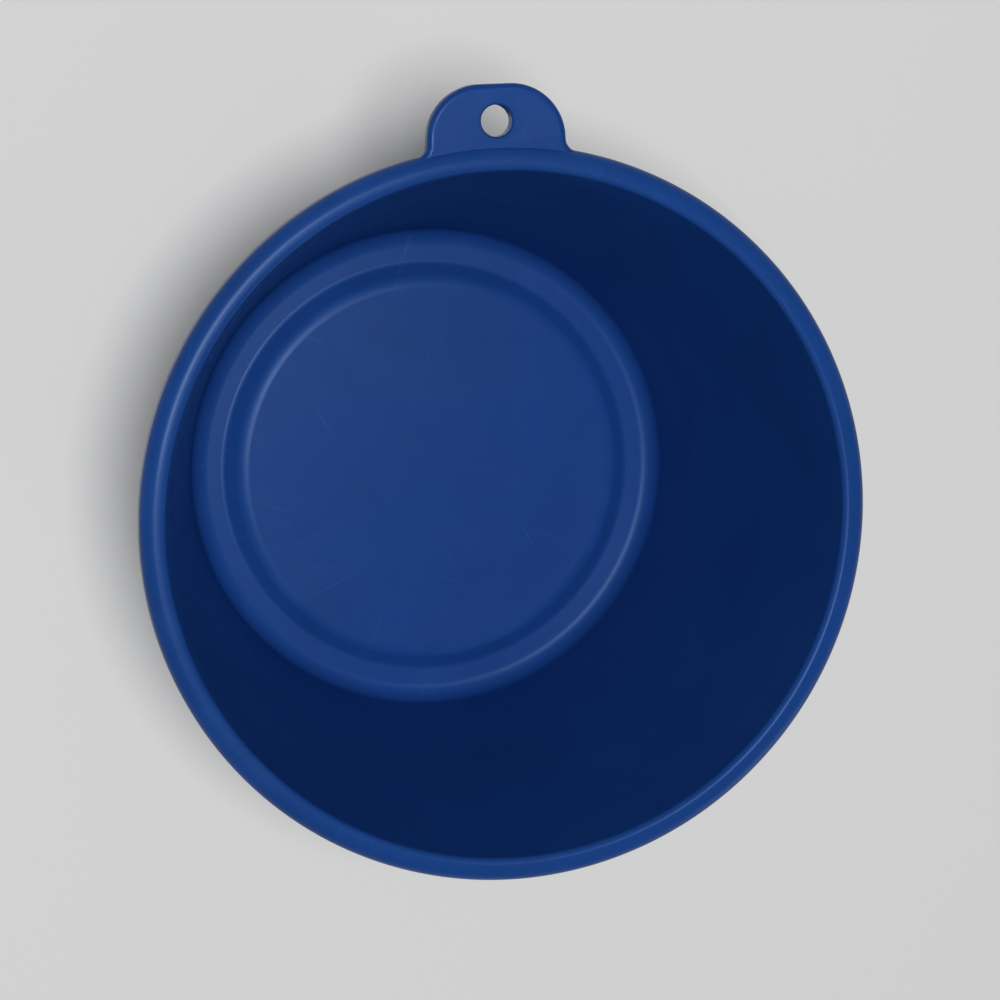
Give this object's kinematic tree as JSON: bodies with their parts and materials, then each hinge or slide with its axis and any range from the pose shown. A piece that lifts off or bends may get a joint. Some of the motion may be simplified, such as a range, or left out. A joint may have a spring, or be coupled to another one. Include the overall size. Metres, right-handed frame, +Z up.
{
  "type": "magnetic parts tray",
  "caption": "Round tapered plastic cup with a hanging tab and a raised magnet housing in its floor, on a soft base, that clings to steel and holds loose fasteners.",
  "frame": {"origin": "centre of the soft base's flat underside, on the cup's axis", "axes": "+Z up along the cup's axis through the mouth, +Y towards the hanging tab"},
  "size_m": [0.109, 0.1178, 0.078],
  "materials": {
    "abs_blue": "satin",
    "pvc_black": "matte",
    "ferrite": "matte",
    "zinc_steel": "satin",
    "spring_steel": "satin"
  },
  "bodies": {
    "root": {"cup": "abs_blue", "backing_plate": "zinc_steel", "ring_magnet": "ferrite", "retaining_cup": "zinc_steel", "spring_washer": "spring_steel", "retaining_screw": "zinc_steel", "pvc_base": "pvc_black"}
  },
  "joints": []
}
